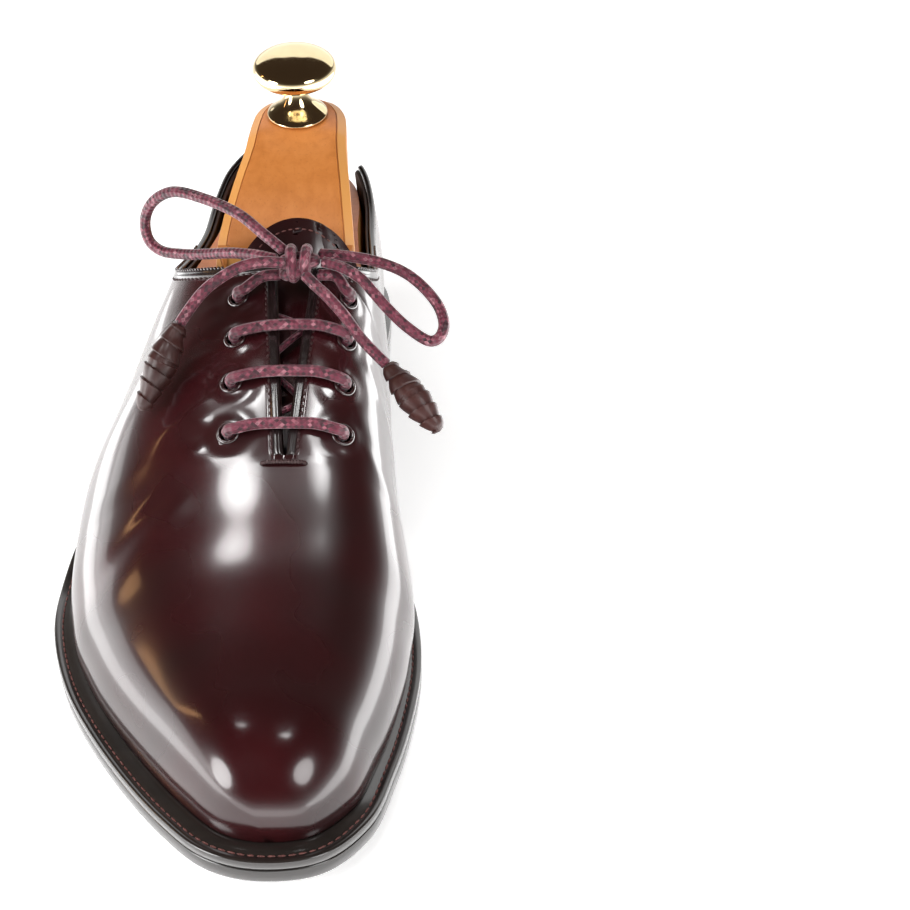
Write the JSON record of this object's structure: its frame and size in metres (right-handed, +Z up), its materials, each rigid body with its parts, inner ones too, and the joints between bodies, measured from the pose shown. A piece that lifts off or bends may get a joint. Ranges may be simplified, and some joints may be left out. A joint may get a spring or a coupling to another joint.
{
  "type": "oxford shoe",
  "caption": "Right-foot leather oxford shoe on a split wooden shoe tree with a round metal knob, its lace tied in a bow with leather-wrapped ends.",
  "frame": {"origin": "on the ground under the middle of the shoe's length and width", "axes": "+Y from the toe towards the heel, +X towards the inner (medial) side of the foot, +Z up"},
  "size_m": [0.1235, 0.3001, 0.1379],
  "materials": {
    "upper_leather": "high-gloss polished calf leather, deep oxblood",
    "lining_leather": "matt lining leather, dark brown",
    "sole_edge": "waxed and burnished stacked leather edge, brown-black",
    "insole_leather": "plain vegetable-tanned leather",
    "cork": "granulated cork",
    "heel_rubber": "matt black rubber",
    "steel": "plain steel",
    "brass": "polished pale brass",
    "lace": "round braided waxed cotton, burgundy and pink flecks",
    "wrap_leather": "wound strip of thin smooth leather",
    "thread": "waxed sewing thread",
    "wood": "varnished beech, honey orange"
  },
  "bodies": {
    "shoe": {"cork_filler": "cork", "eyelet_lateral_1": "brass", "eyelet_lateral_2": "brass", "eyelet_lateral_3": "brass", "eyelet_lateral_4": "brass", "eyelet_medial_1": "brass", "eyelet_medial_2": "brass", "eyelet_medial_3": "brass", "eyelet_medial_4": "brass", "heel_counter": "lining_leather", "heel_lift_1": "sole_edge", "heel_lift_2": "sole_edge", "heel_lift_3": "sole_edge", "heel_nail_1": "brass", "heel_nail_2": "brass", "heel_nail_3": "brass", "heel_nail_4": "brass", "heel_nail_5": "brass", "heel_rand": "sole_edge", "insole": "insole_leather", "lace_bar_1": "lace", "lace_bar_2": "lace", "lace_bar_3": "lace", "lace_knot": "lace", "lace_loop_left": "lace", "lace_loop_right": "lace", "lace_riser_lateral": "lace", "lace_riser_medial": "lace", "lace_under_1": "lace", "lace_under_2": "lace", "lace_under_3": "lace", "lace_under_4": "lace", "outsole": "sole_edge", "quarter_lining": "lining_leather", "shank": "steel", "sock_liner": "lining_leather", "throat_bar_tack": "thread", "toe_puff": "lining_leather", "tongue": "upper_leather", "top_piece": "heel_rubber", "tree_forepart_inner": "wood", "tree_spring": "steel", "tree_tube": "steel", "upper": "upper_leather", "vamp_lining": "lining_leather", "welt": "sole_edge"},
    "tree_heel": {"tree_heel_block": "wood", "tree_knob": "brass", "tree_rod": "steel"},
    "tree_toe_outer": {"tree_forepart_outer": "wood"},
    "lace_tip_left": {"lace_end_left": "lace", "barrel_left": "wrap_leather"},
    "lace_tip_right": {"lace_end_right": "lace", "barrel_right": "wrap_leather"}
  },
  "joints": [
    {"name": "tree_spring_slide", "type": "slide", "parent": "shoe", "child": "tree_heel", "axis": [0.0269, -0.9823, -0.1853], "range_m": [0, 0.007], "stiffness_N_per_m": 1500, "springref_m": -0.01, "deforming": ["tree_spring"]},
    {"name": "tree_width_slide", "type": "slide", "parent": "shoe", "child": "tree_toe_outer", "axis": [1, 0, 0], "range_m": [0, 0.003], "stiffness_N_per_m": 1500, "springref_m": -0.003},
    {"name": "lace_tip_left_lift", "type": "hinge", "parent": "shoe", "child": "lace_tip_left", "pos_m": [0.0149, 0.012, 0.1023], "axis": [-0.6018, 0.7986, 0], "range_deg": [0, 25]},
    {"name": "lace_tip_right_lift", "type": "hinge", "parent": "shoe", "child": "lace_tip_right", "pos_m": [0.0218, 0.0095, 0.0995], "axis": [-0.6649, -0.7469, 0], "range_deg": [0, 25]}
  ]
}
